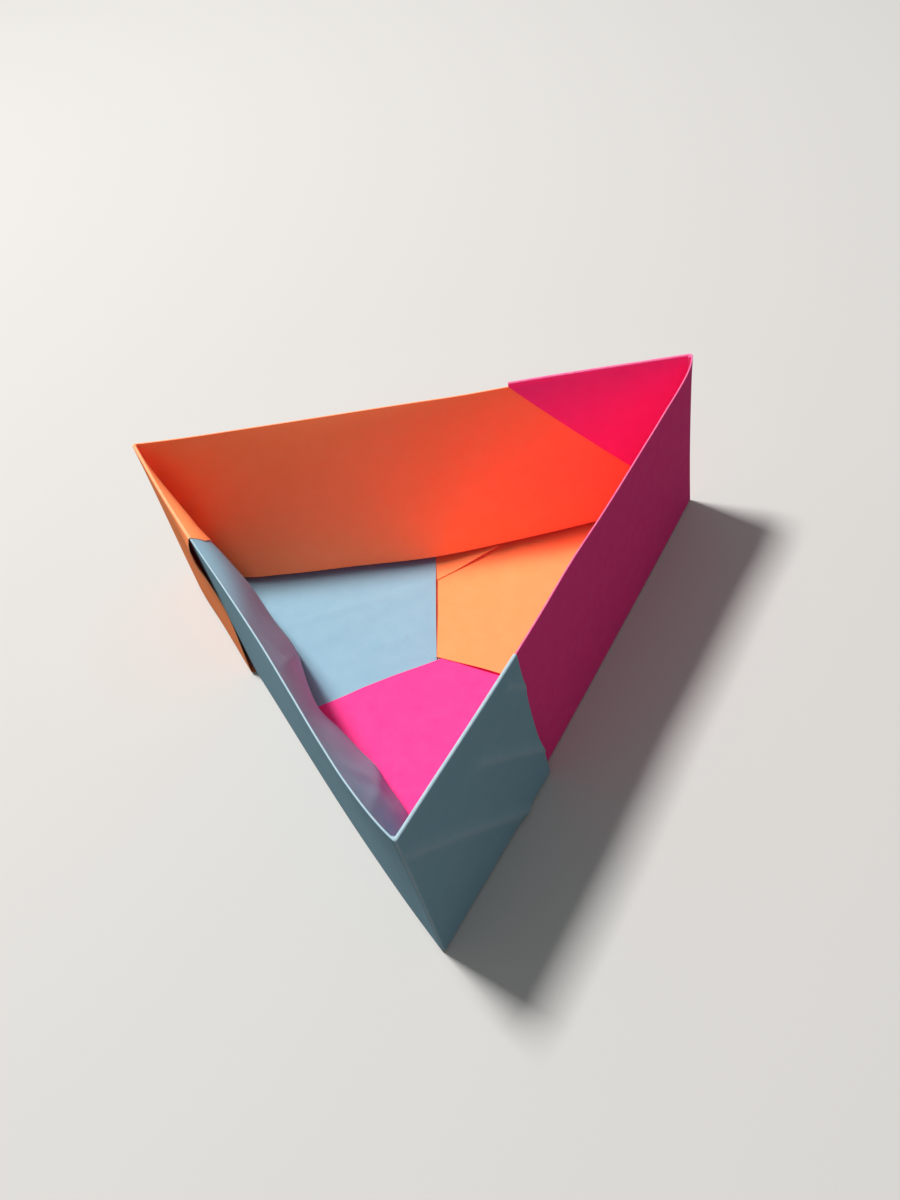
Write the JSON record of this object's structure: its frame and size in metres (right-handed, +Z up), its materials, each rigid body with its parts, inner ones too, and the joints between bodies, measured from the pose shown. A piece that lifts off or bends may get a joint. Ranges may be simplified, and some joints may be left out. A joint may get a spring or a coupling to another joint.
{
  "type": "origami box",
  "caption": "Open triangular tray folded from interlocked sheets of coloured paper, with upright double walls, corner flaps that grip the next wall and a base of overlapping panels.",
  "frame": {"origin": "centre of the triangular base, on the surface the tray stands on", "axes": "+Z up through the open top; the front corner points along -Y, and the wall across from it runs along X at the back"},
  "size_m": [0.1126, 0.0988, 0.0375],
  "materials": {
    "blue_paper": "matte",
    "orange_paper": "matte",
    "pink_paper": "matte"
  },
  "bodies": {
    "root": {"blue_sheet": "blue_paper", "orange_sheet": "orange_paper", "pink_sheet": "pink_paper"}
  },
  "joints": []
}
